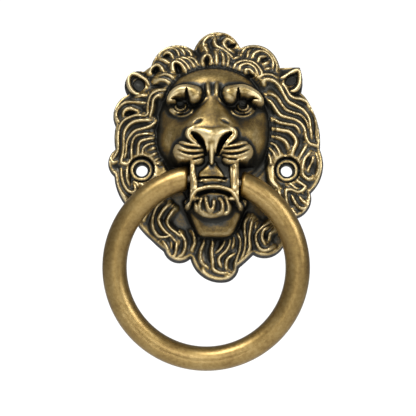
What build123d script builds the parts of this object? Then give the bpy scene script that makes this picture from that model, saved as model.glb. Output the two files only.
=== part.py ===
from build123d import *
import math
import os

# Lion-mask door knocker. Millimetres.
# Drawn as a relief lying on its back: x to the right, y up the face, z out of the door.
# stand_up() turns it to the final frame: +Z up, back face on y = 0, front towards -Y,
# origin midway between the two screw holes on the back face.

# Mask, overall
RIM_DEPTH = 5.0              # thickness of the casting at its outer edge
RIM_FRONT_SCALE = 0.95       # the outer wall drafts in towards its front edge
MANE_CENTRE = (0.0, 10.0)    # the mane's tiers shrink towards this point
MANE_TIERS = ((0.87, 8.5), (0.72, 11.5))   # outline scale, depth
CREST_BOTTOM = 6.0           # the inner mane tier stops here, above the ring's path
LOCK_MIN_BULGE = 1.4         # locks that bulge at least this much get a rounded form
LOCK_LENGTH = 9.0            # half length of that form, towards the mane's centre
LOCK_INSET = 8.0             # its centre, in from the middle of the lock's chord
LOCK_BASE = 3.0
LOCK_RISE = 6.0
POCKET_SCALE = 0.70
POCKET_DEPTH = 5.0
WALL = 3.4                   # wall of the hollow head

# Mane outline: corner between two locks (x, y), and how far the next lock bulges past the chord
MANE_LOCKS = (
    (37.0, 45.3, 0.1),
    (28.4, 45.0, 5.0),
    (11.4, 53.7, 7.4),
    (-9.0, 52.7, 5.4),
    (-27.6, 45.2, 0.1),
    (-30.5, 43.2, 4.6),
    (-37.4, 33.0, 3.2),
    (-42.5, 19.3, 0.5),
    (-42.5, 9.2, 2.9),
    (-42.8, -2.4, 1.4),
    (-36.5, -16.5, 1.0),
    (-26.8, -29.8, 0.1),
    (-21.5, -34.5, 3.3),
    (-10.1, -37.6, 3.8),
    (5.8, -47.4, 1.1),
    (10.6, -41.5, 0.1),
    (16.7, -35.9, 2.2),
    (28.5, -34.0, 0.8),
    (35.0, -20.3, 2.6),
    (41.3, -9.5, 3.1),
    (45.4, 9.5, 1.7),
    (41.0, 29.5, 0.3),
    (37.5, 34.0, 0.9),
)

# Screw bosses
SCREW_SPACING = 62.0
SCREW_HOLE_D = 5.0
BOSS_D = 10.2
BOSS_HEIGHT = 6.0
BOSS_SEAT_D = 6.6            # shallow counterbore for the screw's head
BOSS_SEAT_DEPTH = 2.5

# Head: centre (x, y, z) and half sizes of each rounded form
HEAD = ((0.0, 20.0, 0.0), (25.0, 29.0, 23.5))
BROWS = ((-11.0, 30.5, 18.0), (9.5, 6.0, 8.5)), ((9.0, 30.5, 18.0), (9.5, 6.0, 8.5))
EYES = ((-14.3, 24.8, 17.0), (3.4, 2.8, 3.6)), ((12.3, 24.8, 17.0), (3.4, 2.8, 3.6))
NOSE_BRIDGE = ((-1.2, 21.0, 20.0), (6.2, 12.0, 10.5))
NOSE_TIP = ((-1.3, 13.0, 27.5), (9.5, 4.6, 7.0))
WHISKER_PADS = ((-9.0, 6.2, 21.0), (8.0, 6.3, 9.5)), ((7.4, 6.2, 21.0), (8.0, 6.3, 9.5))
CHEEKS = ((-17.5, 16.0, 12.0), (7.0, 7.5, 10.0)), ((17.5, 16.0, 12.0), (7.0, 7.5, 10.0))
CHIN_TUFT = ((0.2, -17.2, 19.0), (8.0, 7.2, 9.3))
NECK = ((0.0, -23.0, 5.0), (12.5, 14.0, 13.0))
BEARD = ((1.0, -37.0, 3.0), (9.5, 8.5, 6.0))
EARS = ((-33.6, 38.6, 5.0), (4.0, 4.2, 5.0)), ((33.6, 40.0, 5.0), (4.0, 4.6, 5.0))
EAR_CUP_R = 2.6

# Jaw block, which carries the hinge
JAW_WIDTH = 20.4
JAW_BOTTOM = -15.0
JAW_TOP = 4.0
JAW_FRONT = 25.5
JAW_ROUND = 2.0

# Hinge: a loose pin, so the ring hangs a little skew
HINGE_Y = -6.0
HINGE_DEPTH = 17.0
PIN_D = 4.0
PIN_LENGTH = 34.0
PIN_CHAMFER = 0.4
BORE_MIDDLE_D = 4.6          # the cored bore drafts out from its middle to both mouths
BORE_MOUTH_D = 6.7
SKEW = 5.4                   # degrees clockwise, the rest position of the pin and ring

# Ring
RING_R = 38.2                # centreline
BAR_D = 10.2
RING_GAP = 22.2              # between the two end faces
END_ROUND = 1.2
SOCKET_D = 4.1
SOCKET_DEPTH = 6.3

ARM_CLEARANCE_Y = 0.9        # nothing beside the jaw hangs below this line in the ring's path
ARM_CLEARANCE_DEPTH = 9.0


def stand_up(shape):
    """Turn the relief from lying on its back to standing against the door."""
    return Rot(X=90) * shape


def rounded_form(centre, half_sizes):
    """An ellipsoid at a centre with three half sizes."""
    return Pos(*centre) * scale(Sphere(1), by=half_sizes)


def mane_outline(factor=1.0):
    """The lobed outline as a face, one arc per lock, scaled about MANE_CENTRE."""
    corners = [Vector(x, y) for x, y, _ in MANE_LOCKS]
    arcs = []
    for i, start in enumerate(corners):
        end = corners[(i + 1) % len(corners)]
        chord = end - start
        outward = Vector(chord.Y, -chord.X).normalized()
        crown = (start + end) * 0.5 + outward * MANE_LOCKS[i][2]
        arcs.append(ThreePointArc(start, crown, end))
    centre = Vector(*MANE_CENTRE)
    face = make_face(Curve() + arcs)
    return Pos(centre) * scale(Pos(-centre) * face, by=factor)


def mane():
    """Drafted rim with two stepped tiers inside it."""
    body = loft([mane_outline(), Pos(0, 0, RIM_DEPTH) * mane_outline(RIM_FRONT_SCALE)], ruled=True)
    for index, (factor, depth) in enumerate(MANE_TIERS):
        tier = extrude(mane_outline(factor), depth)
        if index > 0:
            tier &= Pos(0, CREST_BOTTOM + 50, 0) * Box(120, 100, 60)
        body += tier
    return body


def locks():
    """One long rounded form per lock, pointing at the mane's centre."""
    forms = []
    for i, (x, y, bulge) in enumerate(MANE_LOCKS):
        if bulge < LOCK_MIN_BULGE:
            continue
        start = Vector(x, y)
        end = Vector(*MANE_LOCKS[(i + 1) % len(MANE_LOCKS)][:2])
        middle = (start + end) * 0.5
        inward = Vector(*MANE_CENTRE) - middle
        centre = middle + inward.normalized() * LOCK_INSET
        width = min((end - start).length / 2, LOCK_LENGTH)
        form = scale(Sphere(1), by=(LOCK_LENGTH, width * 0.9, LOCK_RISE))
        turn = math.degrees(math.atan2(inward.Y, inward.X))
        forms.append(Pos(centre.X, centre.Y, LOCK_BASE) * Rot(Z=turn) * form & above_door())
    return forms


def above_door():
    """The space in front of the back face."""
    return Box(120, 160, 60, align=(Align.CENTER, Align.CENTER, Align.MIN))


def ear(centre, half_sizes):
    """A cupped ear."""
    x, y, z = centre
    return rounded_form(centre, half_sizes) - Pos(x, y, z + half_sizes[2]) * Sphere(EAR_CUP_R)


def face():
    """Head, brows, eyes, nose, pads and cheeks, clear of the ring's two arms below."""
    body = rounded_form(*HEAD)
    for form in (NOSE_BRIDGE, NOSE_TIP, *BROWS, *EYES, *WHISKER_PADS, *CHEEKS):
        body += rounded_form(*form)
    for side in (-1, 1):
        arm_space = Box(60, 60, 60, align=(Align.MIN, Align.MAX, Align.MIN))
        tilted = Pos(JAW_WIDTH / 2, ARM_CLEARANCE_Y, ARM_CLEARANCE_DEPTH) * Rot(Z=SKEW) * arm_space
        body -= tilted if side > 0 else mirror(tilted, about=Plane.YZ)
    return body & above_door()


def jaw_block():
    """Mouth and jaw: the block the hinge pin passes through."""
    height = JAW_TOP - JAW_BOTTOM
    block = Box(JAW_WIDTH, height, JAW_FRONT, align=(Align.CENTER, Align.MIN, Align.MIN))
    block = fillet(block.faces().sort_by(Axis.Z)[-1].edges(), JAW_ROUND)
    return Pos(0, JAW_BOTTOM, 0) * block


def hinge_bore():
    """Cored hole across the jaw, narrowest in the middle."""
    half = Cone(BORE_MIDDLE_D / 2, BORE_MOUTH_D / 2, JAW_WIDTH / 2,
                align=(Align.CENTER, Align.CENTER, Align.MIN))
    both = Rot(Y=90) * half + Rot(Y=-90) * half
    return Pos(0, HINGE_Y, HINGE_DEPTH) * both


def screw_boss(x):
    """Raised seat for one fixing screw."""
    return Pos(x, 0, 0) * Cylinder(BOSS_D / 2, BOSS_HEIGHT, align=(Align.CENTER, Align.CENTER, Align.MIN))


def screw_hole(x):
    """Through hole with its shallow seat."""
    hole = Cylinder(SCREW_HOLE_D / 2, 4 * BOSS_HEIGHT)
    seat = Pos(0, 0, BOSS_HEIGHT) * Cylinder(BOSS_SEAT_D / 2, 2 * BOSS_SEAT_DEPTH)
    above = Pos(0, 0, BOSS_HEIGHT) * Cylinder(BOSS_D / 2, BOSS_HEIGHT,
                                              align=(Align.CENTER, Align.CENTER, Align.MIN))
    return Pos(x, 0, 0) * (hole + seat + above)


def lion_mask():
    """The whole casting, hollow behind."""
    body = mane() + face() + jaw_block()
    for form in locks():
        body += form
    for form in (CHIN_TUFT, NECK, BEARD):
        body += rounded_form(*form) & above_door()
    for form in EARS:
        body += ear(*form) & above_door()
    centre, sizes = HEAD
    body -= rounded_form(centre, tuple(size - WALL for size in sizes))
    body -= extrude(mane_outline(POCKET_SCALE), POCKET_DEPTH)
    for side in (-1, 1):
        body += screw_boss(side * SCREW_SPACING / 2)
    for side in (-1, 1):
        body -= screw_hole(side * SCREW_SPACING / 2)
    return body - hinge_bore()


def hang(shape):
    """Place a shape drawn about the pin's axis onto the hinge, skew by the pin's slack."""
    return Pos(0, HINGE_Y, HINGE_DEPTH) * Rot(Z=-SKEW) * shape


def knocker_ring():
    """Open ring of round bar with a socket in each end, lying back until the bar meets the door."""
    drop = math.sqrt(RING_R ** 2 - (RING_GAP / 2) ** 2)
    ring = Pos(0, -drop, 0) * Torus(RING_R, BAR_D / 2)
    ring -= Box(RING_GAP, 4 * BAR_D, 2 * BAR_D)
    end_edges = ring.faces().filter_by(GeomType.PLANE).edges()
    ring = fillet(end_edges, END_ROUND)
    for side in (-1, 1):
        socket = Cylinder(SOCKET_D / 2, SOCKET_DEPTH, align=(Align.CENTER, Align.CENTER, Align.MIN))
        ring -= Pos(side * RING_GAP / 2, 0, 0) * Rot(Y=90 * side) * socket
    lean = math.degrees(math.asin((HINGE_DEPTH - BAR_D / 2) / (drop + RING_R)))
    return hang(Rot(X=lean) * ring)


def hinge_pin():
    """Straight pin with chamfered ends."""
    pin = Cylinder(PIN_D / 2, PIN_LENGTH)
    pin = chamfer(pin.edges().filter_by(GeomType.CIRCLE), PIN_CHAMFER)
    return hang(Rot(Y=90) * pin)


os.makedirs("parts", exist_ok=True)
export_step(stand_up(lion_mask()), "parts/lion_mask.step")
export_step(stand_up(knocker_ring()), "parts/knocker_ring.step")
export_step(stand_up(hinge_pin()), "parts/hinge_pin.step")
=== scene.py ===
import math

import bpy
import numpy as np
from mathutils import Matrix, Vector


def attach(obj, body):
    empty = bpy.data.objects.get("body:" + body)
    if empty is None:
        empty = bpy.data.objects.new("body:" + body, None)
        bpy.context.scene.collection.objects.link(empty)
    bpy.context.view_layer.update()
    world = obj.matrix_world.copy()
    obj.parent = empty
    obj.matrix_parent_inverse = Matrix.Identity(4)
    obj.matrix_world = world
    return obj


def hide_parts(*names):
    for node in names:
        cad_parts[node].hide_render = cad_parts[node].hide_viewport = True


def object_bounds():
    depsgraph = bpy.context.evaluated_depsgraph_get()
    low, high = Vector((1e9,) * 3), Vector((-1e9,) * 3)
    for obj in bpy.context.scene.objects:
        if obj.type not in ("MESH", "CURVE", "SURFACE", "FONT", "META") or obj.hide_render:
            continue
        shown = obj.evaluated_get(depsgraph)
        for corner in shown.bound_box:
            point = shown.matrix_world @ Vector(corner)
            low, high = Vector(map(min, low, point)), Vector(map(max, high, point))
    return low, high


# Lion-mask door knocker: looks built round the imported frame.
# The mask is sculpted as a relief: x to the right, z up and depth out of the door, in millimetres.

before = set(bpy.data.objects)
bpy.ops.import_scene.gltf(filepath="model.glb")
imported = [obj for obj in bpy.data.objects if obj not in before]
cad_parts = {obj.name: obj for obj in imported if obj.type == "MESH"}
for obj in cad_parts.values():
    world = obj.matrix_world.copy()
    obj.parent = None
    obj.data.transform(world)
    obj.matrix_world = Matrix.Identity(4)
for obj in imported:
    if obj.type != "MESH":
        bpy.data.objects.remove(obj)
cad_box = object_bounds()

MM = 0.001
CELL = 0.32                  # relief grid spacing
CURVE_STEP = 0.25            # spacing of the points along a drawn curve

# ---------------------------------------------------------------- sizes shared with the CAD model
SCREW_X = 31.0
SCREW_HOLE_R = 2.5
BOSS_R = 5.1
BOSS_HEIGHT = 6.0
SEAT_R = 3.3
SEAT_HEIGHT = 3.5
MANE_CENTRE = (0.0, 10.0)
POCKET_SCALE = 0.70
POCKET_DEPTH = 5.0
HOLLOW_CENTRE = (0.0, 20.0)
HOLLOW_HALF = (21.6, 25.6, 20.1)
JAW_HALF_WIDTH = 10.2
NOSE_X = -1.3
HINGE = Vector((0, -17, -6))
BORE_MIDDLE_R = 2.3
BORE_MOUTH_R = 3.35
# Beside the jaw the ring's arms sweep all that is below a line (its height and degrees) and further
# out than a depth. Below the height ARMS_END they are past it.
ARM_LINE_HEIGHT = 0.5
ARM_LINE_SLOPE = 5.4
ARM_DEPTH = 9.0
ARMS_END = -15.0

# The face is drawn as it looks from the viewer's eye, on a plane this far out of the door
EYE = (-3.32, -71.89)
EYE_DISTANCE = 500.0
DRAWN_DEPTH = 24.0

# ---------------------------------------------------------------- mane
EDGE_HEIGHT = 1.6            # the casting's plain edge
EDGE_DRAFT = ((-42, 3.2), (-20, 4.5), (30, 7.0))  # slope of the smooth flange above it, by height
RIM_INSET = ((-42, 1.5), (-20, 1.2), (30, 0.9))   # where the outermost strand runs, in from the edge
HAIR_EDGE = (4.7, 5.6)       # hair depth at the flange, at the beard and at the crown
HAIR_AT_FACE = ((-45, 7.2), (-20, 7.2), (0, 8.2), (10, 8.8), (20, 9.8), (30, 11.2), (40, 12.6),
                (60, 12.6))  # hair depth where it meets the head, by height
RIDGE_HEIGHT = 1.35
RIDGE_WIDTH = 0.66
VALLEY = 0.9
MINOR_HEIGHT = 0.6           # the fine ridge midway between two strands
MINOR_WIDTH = 0.45
RIM_HEIGHT = 0.65

# The line where the face and jaw meet the hair, and how far out it is
HEAD_EDGE_DEPTH = 10.5
FACE_EDGE = (
    (-14, 36.5), (-8, 39.2), (-2, 40.3), (4, 39.8), (8, 38), (13, 36.6), (17, 35), (20.5, 30.5),
    (22.5, 26), (24, 20), (24.7, 14), (24.3, 8), (22.5, 2), (20, -2), (14.5, -8), (12, -14), (12, -20),
    (9.5, -27), (5, -28.7), (-3, -28.5), (-7.5, -27.5), (-10.5, -21), (-11, -14), (-14.5, -8), (-20, -1),
    (-22.5, 3), (-23.8, 9), (-23.5, 15), (-22.5, 20), (-21.5, 25), (-20, 29.5), (-17, 34),
)

# Raised strands, each a smooth curve through a few points
STRANDS_LEFT = (
    ((-29, 28), (-34, 28.8), (-38.5, 28.5), (-41.5, 25.5), (-41.8, 22.5), (-40.3, 19.8)),
    ((-33.2, 24.8), (-36, 26.2), (-38.3, 25.2), (-38.9, 22.8)),
    ((-29.5, 22.5), (-33, 22.9), (-36, 22.2), (-39, 20.5), (-40.8, 17), (-41, 12), (-41, 8.5),
     (-42.5, 5.5), (-44, 4.2)),
    ((-26.5, 20.5), (-30, 20.7), (-34, 20.3), (-37, 18.3), (-38.5, 15), (-38.6, 10), (-39, 6),
     (-39.5, 3.2), (-37.5, 2.3), (-36, 2.6)),
    ((-24.5, 20), (-27, 18.2), (-30, 17.2), (-33.5, 16.3), (-36, 14), (-37.3, 11), (-37.6, 7),
     (-38.5, 4.5)),
    ((-26.5, 14.7), (-30, 14.8), (-33, 14.2), (-34.7, 12), (-35.2, 8), (-35, 4.5)),
    ((-25, 13), (-28.5, 12.5), (-31.5, 11.5), (-32.3, 8.5), (-32.2, 5.6)),
    ((-24.8, 10.9), (-28, 10.2), (-30, 8.8), (-30.6, 6.4)),
    ((-28, 8), (-24, 9)), ((-27.5, 5.3), (-23.8, 6.8)), ((-26, 3), (-23, 4.5)),
    ((-25.3, 1.2), (-22.5, 2.6)), ((-25.2, -0.8), (-22, 0)), ((-25.5, -3), (-22, -1.8)),
    ((-44.2, 4.8), (-43, 3.2), (-41, 3.5)),
    ((-21, 33.2), (-24, 33), (-26.8, 31.5), (-28, 28.5), (-28.3, 25.5), (-28.3, 23.3), (-30.5, 22.3)),
    ((-22, 31), (-24.5, 30.7), (-26, 28.8), (-26.3, 26), (-27.5, 21.5)),
    ((-25, 37.9), (-23, 38), (-20.5, 37.2), (-19, 36)),
    ((-23.5, 39.7), (-21, 40.2), (-18.5, 39), (-17, 37.5)),
    ((-28, 42), (-26.5, 44.3), (-24.5, 45), (-22.8, 43.5), (-21.8, 41.5)),
    ((-33.5, 31), (-31, 31.5), (-29, 31.2)),
)
STRANDS_LOWER_LEFT = (
    ((-42, -1.5), (-41.5, -3.5), (-41, -6.5), (-39.5, -9.5), (-37.5, -12), (-36.8, -13)),
    ((-39.5, 0), (-39.3, -3), (-38.3, -6.5), (-36.5, -9), (-34.5, -9.7), (-33.3, -8.7), (-34, -6.5)),
    ((-37, -0.5), (-37, -4), (-35.8, -7)),
    ((-33.3, -5.8), (-31.5, -7.8)), ((-31, -6.2), (-29.5, -7.5)),
    ((-22.3, -13.8), (-24.5, -16.5), (-25.8, -20), (-26, -23.5), (-25, -26.5), (-23, -28.5),
     (-20.5, -28.7), (-18.5, -28.3), (-16, -31)),
    ((-19, -14.8), (-21.5, -17.3), (-23.3, -20.3), (-23.4, -22), (-22.2, -24.5), (-20, -27), (-17, -29)),
    ((-16.8, -16.8), (-19, -20), (-19.8, -22.5), (-18.5, -25), (-16, -27), (-14, -28.5)),
    ((-28, -18), (-30, -21)),
)
STRANDS_BEARD = (
    ((-21.7, -30.5), (-20, -33), (-19.3, -36), (-17.8, -37.3), (-16.5, -36), (-16, -32.5), (-15.8, -31)),
    ((-14, -27.5), (-12.4, -30), (-12.2, -33), (-13.3, -35.8), (-15.5, -37.2)),
    ((-18, -31), (-17.5, -34.5)),
    ((-9, -26.5), (-8.3, -29), (-8.3, -31.5), (-9.5, -34)),
    ((-4.5, -28), (-4.3, -31), (-5.5, -34), (-5.8, -37), (-5, -39.5), (-2.5, -41.8)),
    ((-1.5, -28), (-0.7, -31), (-1, -35), (-0.6, -39), (-0.3, -42), (1.5, -43.3), (4, -43.8),
     (6, -43.7)),
    ((4.3, -28), (4.3, -31), (2.5, -34), (0.5, -35.5)),
    ((6.5, -28.5), (6.5, -31.5), (5, -34.5), (2.5, -37), (2, -39), (3.2, -41.5)),
    ((8, -28), (8.2, -31), (7.5, -33.5)),
    ((9.5, -27), (11, -30), (10.8, -34), (9.8, -37), (9, -40), (9.2, -43), (8, -44.3), (5.5, -44)),
    ((9, -35.5), (6, -37.5), (5, -40), (5.3, -43)),
    ((14.5, -20.3), (13, -22.5), (12.8, -26), (13.2, -30), (12.7, -34.5), (11.5, -37.5)),
    ((16.3, -21), (15.3, -25), (14.8, -29), (15, -33), (13.8, -35.5)),
    ((17.8, -23), (17.3, -25.5)),
    ((23.5, -22.3), (20.5, -24.3), (18, -27), (17.7, -30), (19, -33), (21.5, -34.2), (25, -32.8)),
    ((23.5, -24), (20.8, -26), (20.2, -29), (21.5, -31.5)),
    ((25.3, -25.5), (23.5, -27.5), (22.8, -29.5)),
)
STRANDS_LOWER_RIGHT = (
    ((43.5, 7), (44.3, 3.5), (44.4, 0.5), (43.2, -2.5)),
    ((41, 8), (38.5, 4.5), (37.4, 1), (37.6, -2), (39.5, -3.7), (41.5, -3.5)),
    ((42.2, 5.5), (40, 0)),
    ((34, -3.7), (35.5, -5), (37.8, -6.5), (38.5, -7.5), (37, -9), (35, -9.3), (32.5, -8.5),
     (30.5, -9), (30.3, -12), (31, -15)),
    ((32.3, -6), (34.5, -7.8), (36.5, -8)),
    ((33, -11), (34, -13.5), (36, -15.8), (38.5, -16.2), (40.3, -14.8), (41, -12.5)),
    ((36.5, -10.5), (37.5, -13), (39.5, -14.5)),
    ((40.5, -9.5), (41.2, -12)), ((33.3, -17), (34.2, -19)), ((27.3, -9), (28, -11.5)),
)
STRANDS_RIGHT = (
    ((18.5, 38.5), (21, 40), (24, 40.3), (26.5, 39.3)),
    ((20.5, 36.5), (22, 38), (25, 37.8), (27.5, 35.5), (29.5, 32), (31.5, 29), (34.5, 27.5),
     (38, 25.5), (40.3, 22), (41, 17), (41.5, 13)),
    ((29.5, 36.5), (30.5, 34.5), (32, 32), (34, 30.8), (37, 30.5), (39.6, 29.3), (40.3, 27)),
    ((22, 31.3), (24, 31.6), (26.5, 30.3), (28.5, 27.5), (30.5, 25.3), (33.5, 24.2), (36.5, 23.5),
     (39, 21), (40.3, 17)),
    ((22.5, 29.5), (24.5, 27.3), (26.5, 24.5), (28.3, 22.7), (31, 22), (34, 21.3), (36.5, 20),
     (38.3, 17.5), (39, 14), (40.3, 11.5), (42.5, 10.7), (44.2, 10.5)),
    ((24.8, 21), (27.5, 19.8), (31, 19.2), (34, 18.8), (35.5, 17.5), (36.5, 16)),
    ((25, 17), (28.5, 16.5), (31.5, 16), (33.8, 14), (34.7, 11.5), (33.5, 8.5), (32.6, 5.8)),
    ((24.5, 13.7), (27.5, 13.2), (30, 11.8), (31.8, 9)),
    ((23, 11.2), (25.3, 10.3), (27, 8), (28, 5.8)),
    ((22.5, 9.5), (24.5, 7.5), (26, 5)),
    ((39.5, 11), (37.5, 7.5), (35.8, 4.6)),
    ((41.5, 26), (42.8, 23.5), (43.5, 19), (43.4, 15), (44.2, 12)),
    ((23.3, 6.5), (23.8, 2), (24, -2), (24.5, -5), (27, -8)),
)
STRANDS_CROWN = (
    ((-5, 52.5), (-4.5, 55.5), (-2.5, 57.6), (0, 58.2)),
    ((-3.5, 51), (-4.7, 53.5)),
    ((0.3, 57.5), (0, 55), (1, 52.8), (3.5, 51.5), (6, 49.5), (8, 47.5)),
    ((1, 58.3), (4, 59), (7.5, 57.8), (9.5, 55.5), (9.8, 53)),
    ((7.5, 56), (5.5, 56.6), (4.3, 55.3), (4, 53.8), (5.5, 51.8), (8, 50.4)),
    ((-4.8, 43), (-5.3, 46), (-4, 48.5), (-2.3, 48.5), (-1.3, 46.5), (-1.5, 44.3)),
    ((0.5, 50), (0.8, 47), (0.8, 43.5)),
    ((2.8, 50.5), (3.8, 47.5), (3.7, 43.5)),
    ((5, 49.5), (6, 47), (5.3, 43.3)),
    ((-24.3, 48.3), (-23.3, 50.6), (-20.5, 52.4), (-17.5, 53)),
    ((-22, 49.5), (-21, 50.5), (-19, 50), (-17.5, 47.5)),
    ((-18, 52.6), (-16, 51), (-15, 48.5)),
    ((-15.5, 52.8), (-13.5, 51), (-12.5, 49)),
    ((-12.5, 52.3), (-10.5, 50.5), (-9.5, 48)),
    ((-24.3, 47.6), (-22, 47), (-19.5, 45.5)),
    ((-18, 42.5), (-17.8, 45), (-16, 45.7), (-13.8, 44), (-12.3, 41.5), (-12, 39.5)),
    ((-17, 47), (-14.5, 46.8), (-12, 44.5), (-10.3, 41.5)),
    ((-15, 48), (-11.5, 47), (-9.3, 44.5), (-8.3, 42)),
    ((-12.5, 48.5), (-9, 47), (-7, 44)),
    ((11.5, 50), (13.5, 52.7), (17.5, 53.2), (21.5, 52.2), (24.8, 49.5), (26.6, 45.5), (26.6, 42.5)),
    ((16, 48), (17.3, 50.3), (20, 51.3), (22.8, 50.2), (25, 47), (25, 43)),
    ((18.5, 46), (19.5, 48.3), (22, 49)),
    ((21, 45), (23.5, 46.2)), ((21.5, 42.7), (24.5, 43.6)),
    ((14, 48.3), (14.5, 50.6), (15.6, 52)), ((11.2, 48.5), (11.7, 50.5)),
    ((8, 42.5), (9.5, 45), (13, 46.3), (17, 45), (19.8, 41.5), (20, 38.8)),
    ((10.3, 42), (11.3, 44), (14, 44.8), (17, 43), (18.3, 40)),
    ((13, 40.3), (13.2, 41.8), (15, 42), (16.3, 40.5)),
    ((8, 47), (11, 48.5)),
    ((10.5, 53.5), (12.3, 52.3)),
)
STRANDS = (STRANDS_LEFT + STRANDS_LOWER_LEFT + STRANDS_BEARD + STRANDS_LOWER_RIGHT + STRANDS_RIGHT
           + STRANDS_CROWN)

# Hollows inside curls: centre x, z, half sizes, turn in degrees, depth of the hollow
CURL_PITS = (
    (-36, 24, 2.4, 0.9, 12, 2.6), (-25.2, 42.8, 1.6, 1.1, 30, 2.4), (-15.4, 42.6, 1.3, 2.0, 20, 3.0),
    (7.3, 53.4, 2.0, 0.7, 25, 2.2), (-3.2, 45.4, 0.8, 1.7, 0, 1.8), (14.8, 39.4, 1.6, 0.7, 0, 2.0),
    (40.6, 2.4, 1.6, 3.6, 20, 2.2), (21.5, 47, 1.6, 0.7, 35, 1.6), (-35, -3.5, 0.8, 2.6, 0, 1.4),
    (-21, 48.7, 1.3, 0.6, 20, 1.4), (22, -28.3, 0.8, 1.8, 10, 1.4), (-17.3, -33, 0.8, 1.8, 0, 1.4),
    (-24.5, 35.2, 2.2, 0.8, -10, 1.8), (37.2, -11.6, 0.7, 1.6, 30, 1.2),
)

# The back is evenly dull
BACK_WEAR = 0.44
BACK_OCCLUSION_SHADE = 0.9

# Places made darker in colour, centre x, z, half sizes, how much darker: the cast's own patina and tone at
# the mouth, between and on the brows, on the neck, the whisker pads, the screw bosses and the ear cups;
# painted shade at the top of the forehead, down the sides of the cheeks and at the bottom of the neck
PATINA_AND_SHADE = (
    (-0.6, -2.6, 6.0, 3.4, 0.2), (-0.8, 31.0, 3.4, 4.0, 0.08), (-0.6, 40.0, 16.0, 3.0, 0.06),
    (-12.6, 29.0, 9.0, 5.0, 0.30), (10.8, 29.0, 9.0, 5.0, 0.30), (0, -28, 12, 5, 0.16),
    (-10.4, 5.0, 8.5, 6.5, 0.06), (8.6, 5.0, 8.5, 6.5, 0.06),
    (-31, 0, 5.4, 5.4, 0.12), (31, 0, 5.4, 5.4, 0.12),
    (-32.4, 36.6, 3.0, 3.0, 0.15), (33.0, 38.6, 3.0, 3.0, 0.15),
    (-22.5, 14, 3, 14, 0.08), (22.5, 14, 3, 14, 0.08), (0, -24, 11, 6, 0.10),
)

# Brows, left and right: the crest (x, z, depth, half width) and the notch that cuts it from below
BROWS = (
    (((-7.9, 28.9, 26.8, 3.4), (-8.3, 30.0, 27.0, 3.9), (-11.4, 31.2, 26.4, 3.2),
      (-14.2, 31.0, 25.8, 3.0), (-16.6, 29.6, 25.2, 2.7), (-18.2, 27.9, 24.6, 2.0),
      (-18.4, 26.8, 24.2, 1.3), (-16.6, 26.4, 23.6, 0.9)),
     ((-11.7, 32.2, 26.0, 0.3), (-11.7, 30.4, 23.0, 0.7), (-11.6, 28, 19.5, 1.0), (-11.4, 25, 17.5, 1.4))),
    (((5.9, 28.9, 26.8, 3.4), (6.2, 30.0, 27.0, 3.9), (9.4, 31.2, 26.4, 3.2),
      (12.4, 31.2, 25.8, 3.1), (15.4, 29.9, 25.2, 2.9), (17.9, 28.2, 24.6, 2.4),
      (18.8, 26.6, 24.2, 1.7), (16.2, 26.6, 23.6, 1.0)),
     ((9.8, 32.2, 26.0, 0.3), (9.8, 30.4, 23.0, 0.7), (9.9, 28, 19.5, 1.0), (10.1, 25, 17.5, 1.4))),
)

# Whisker pads: centre x, side, and the four ridges across each
WHISKER_PADS = (
    (-10.0, -1, (((-15.2, 9.2), (-12, 8.5), (-8.5, 7.6), (-5.4, 7.0)),
                 ((-16.4, 7.3), (-12.6, 6.0), (-8.5, 5.4), (-4.4, 5.6)),
                 ((-16.6, 5.0), (-12.6, 3.6), (-8.5, 3.0), (-4.0, 3.7)),
                 ((-15.8, 2.7), (-12.6, 1.3), (-8.5, 0.9), (-4.3, 1.8)))),
    (8.9, 1, (((3.8, 6.9), (7, 7.5), (10.5, 8.3), (13.8, 9.2)),
              ((2.8, 5.5), (6.5, 5.3), (10.8, 5.9), (15.0, 7.3)),
              ((2.5, 3.6), (6.5, 3.0), (10.8, 3.5), (15.2, 5.0)),
              ((2.9, 1.8), (6.5, 1.0), (10.8, 1.4), (14.4, 2.8)))),
)

# Mouth: the two fangs and the lip (x, z, depth, half width), and the hairs of the chin tuft
FANGS = (
    ((-9.3, -0.8, 26.6, 1.8), (-9.1, -3.5, 27.2, 1.6), (-8.3, -7.0, 27.0, 1.5), (-8.2, -9.4, 26.6, 1.9)),
    ((7.8, -0.8, 26.6, 2.2), (8.0, -3.5, 27.2, 2.0), (7.9, -7.0, 27.0, 1.6), (8.1, -9.6, 26.6, 2.0)),
)
LIP = (
    (-10.8, -17.0, 22.0, 1.0), (-9.6, -13.6, 26.0, 1.15), (-7.4, -10.9, 27.3, 1.2),
    (-3, -9.6, 27.5, 1.15), (1, -9.4, 27.5, 1.15), (4.5, -10.1, 27.5, 1.15),
    (7.2, -11.4, 27.2, 1.2), (9.2, -13.8, 26.0, 1.15), (10.6, -17.4, 22.0, 1.0),
)
TUFT_HAIRS = (
    ((-5, -14), (-6, -16.5), (-6, -19), (-5, -20.5)),
    ((-3.7, -13.5), (-3.3, -16), (-2.5, -18.5), (-1.3, -19.8)),
    ((-0.2, -14.9), (-0.4, -17.5), (-1.3, -19.8)),
    ((1.5, -14), (2.8, -15.5), (3.3, -17.5), (2.8, -20), (1, -21)),
    ((4.3, -13.5), (5.3, -16), (6, -18.5), (5.5, -20.5), (4, -21.3)),
    ((-7.8, -14), (-8, -17), (-7.5, -20)),
)

# Ears: rim strand, its depth, and the cup inside it (as CURL_PITS)
EARS = (
    (((-27.8, 36), (-29, 38.3), (-31, 39.7), (-33, 41), (-35.5, 41.3), (-36.8, 39.3), (-36.6, 36.5),
      (-35.2, 34), (-33.5, 32.6), (-32.3, 32.4)), 8.6, (-32.4, 36.6, 2.6, 2.9, 35, 2.4)),
    (((27.5, 38.8), (31, 40.7), (34.4, 42.8), (36.2, 42.6), (36.6, 39.5), (36, 36.3), (34.3, 34.2),
      (32.3, 33.6)), 8.8, (32.9, 38.8, 3.2, 2.2, 38, 2.8)),
)


# ================================================================ small field tools
def smoothstep(low, high, value):
    t = np.clip((value - low) / (high - low), 0, 1)
    return t * t * (3 - 2 * t)


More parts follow.
